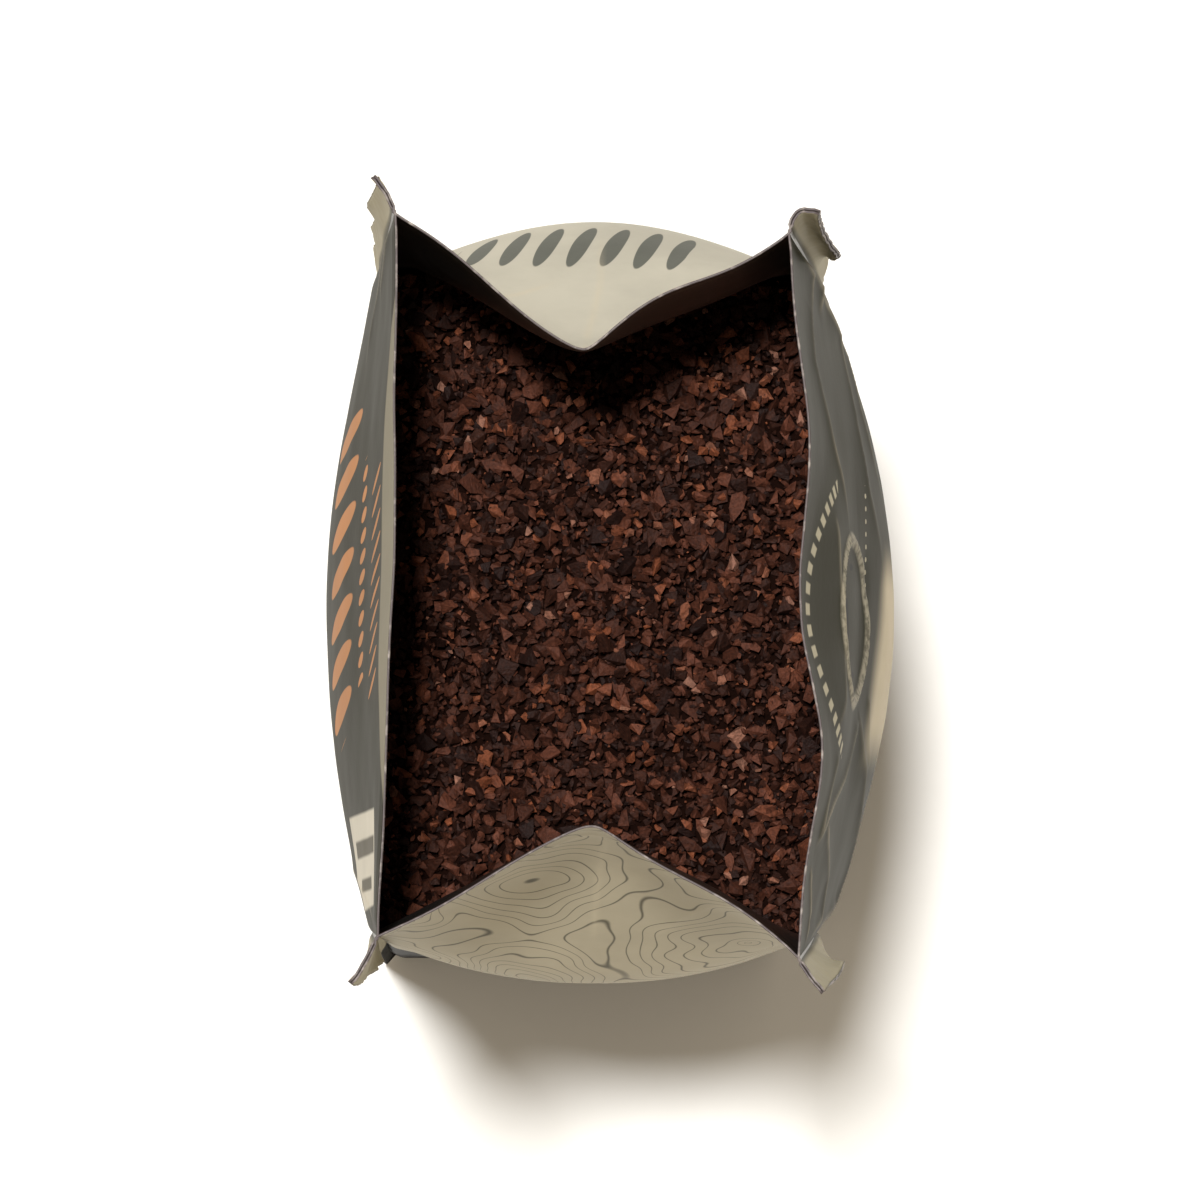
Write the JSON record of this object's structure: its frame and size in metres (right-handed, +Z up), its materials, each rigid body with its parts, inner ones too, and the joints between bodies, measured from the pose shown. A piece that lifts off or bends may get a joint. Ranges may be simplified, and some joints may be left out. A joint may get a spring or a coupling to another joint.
{
  "type": "coffee bag",
  "caption": "Open, upright side-gusseted coffee bag with welded corner fins and a one-way valve, part filled with coarse ground coffee.",
  "frame": {"origin": "on the resting face, under the middle of the mouth", "axes": "+Z up out of the mouth, +Y out through the back panel that carries the valve, X from gusset to gusset"},
  "size_m": [0.0925, 0.0681, 0.17],
  "materials": {
    "film": "satin printed laminate film",
    "coffee": "rough, dry, coarse ground roasted coffee",
    "valve": "smooth moulded"
  },
  "bodies": {
    "root": {"bag_film": "film", "ground_coffee": "coffee", "valve": "valve"}
  },
  "joints": []
}
